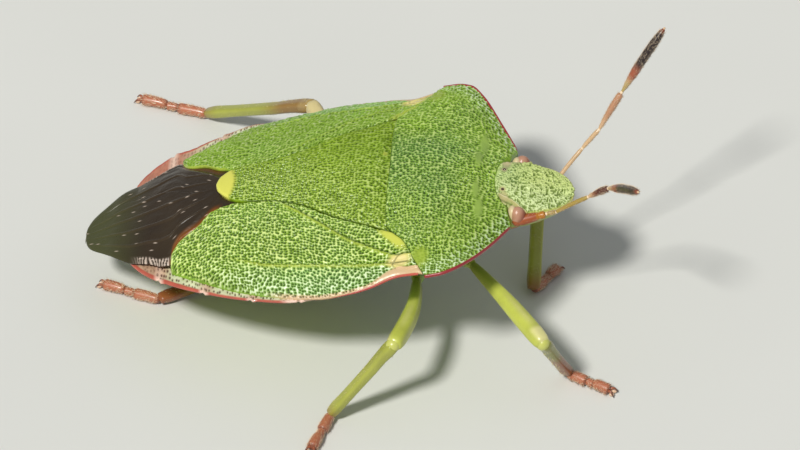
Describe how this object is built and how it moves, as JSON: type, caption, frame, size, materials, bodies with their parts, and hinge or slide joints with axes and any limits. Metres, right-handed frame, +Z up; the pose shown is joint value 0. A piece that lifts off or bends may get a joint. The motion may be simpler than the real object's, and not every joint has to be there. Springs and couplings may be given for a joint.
{
  "type": "shield bug",
  "caption": "Green shield bug standing on its six feet, a still, life-size animal model with folded wings, feelers and a dark wing membrane.",
  "frame": {"origin": "on the floor under the middle of the outline, feelers and feet included", "axes": "+X the way the bug faces, +Y its left side, +Z up"},
  "size_m": [0.015, 0.0148, 0.0077],
  "materials": {
    "shell": "satin green shell with dense dark pits",
    "head": "satin yellow-green shell with coarse dark pits",
    "forewing": "satin green leathery wing with dense dark pits",
    "belly": "satin pale green underside",
    "membrane": "glossy bronze-brown wing membrane with raised veins",
    "rim": "satin salmon red rim with pale bands",
    "leg": "glossy yellow-green with short pale hairs",
    "foot": "reddish brown with short pale hairs",
    "feeler": "buff to dark brown with short pale hairs",
    "eye": "fine-faceted brown"
  },
  "bodies": {
    "root": {"abdomen": "belly", "antenna_left_1": "feeler", "antenna_left_2": "feeler", "antenna_left_3": "feeler", "antenna_left_4": "feeler", "antenna_right_1": "feeler", "antenna_right_2": "feeler", "antenna_right_3": "feeler", "antenna_right_4": "feeler", "beak": "foot", "connexivum_left": "rim", "connexivum_right": "rim", "eye_left": "eye", "eye_right": "eye", "femur_fore_left": "leg", "femur_fore_right": "leg", "femur_hind_left": "leg", "femur_hind_right": "leg", "femur_middle_left": "leg", "femur_middle_right": "leg", "forewing_left": "forewing", "forewing_right": "forewing", "head": "head", "membrane_left": "membrane", "membrane_right": "membrane", "prothorax": "shell", "scutellum": "shell", "tarsus_fore_left": "foot", "tarsus_fore_right": "foot", "tarsus_hind_left": "foot", "tarsus_hind_right": "foot", "tarsus_middle_left": "foot", "tarsus_middle_right": "foot", "thorax": "belly", "tibia_fore_left": "leg", "tibia_fore_right": "leg", "tibia_hind_left": "leg", "tibia_hind_right": "leg", "tibia_middle_left": "leg", "tibia_middle_right": "leg"}
  },
  "joints": []
}
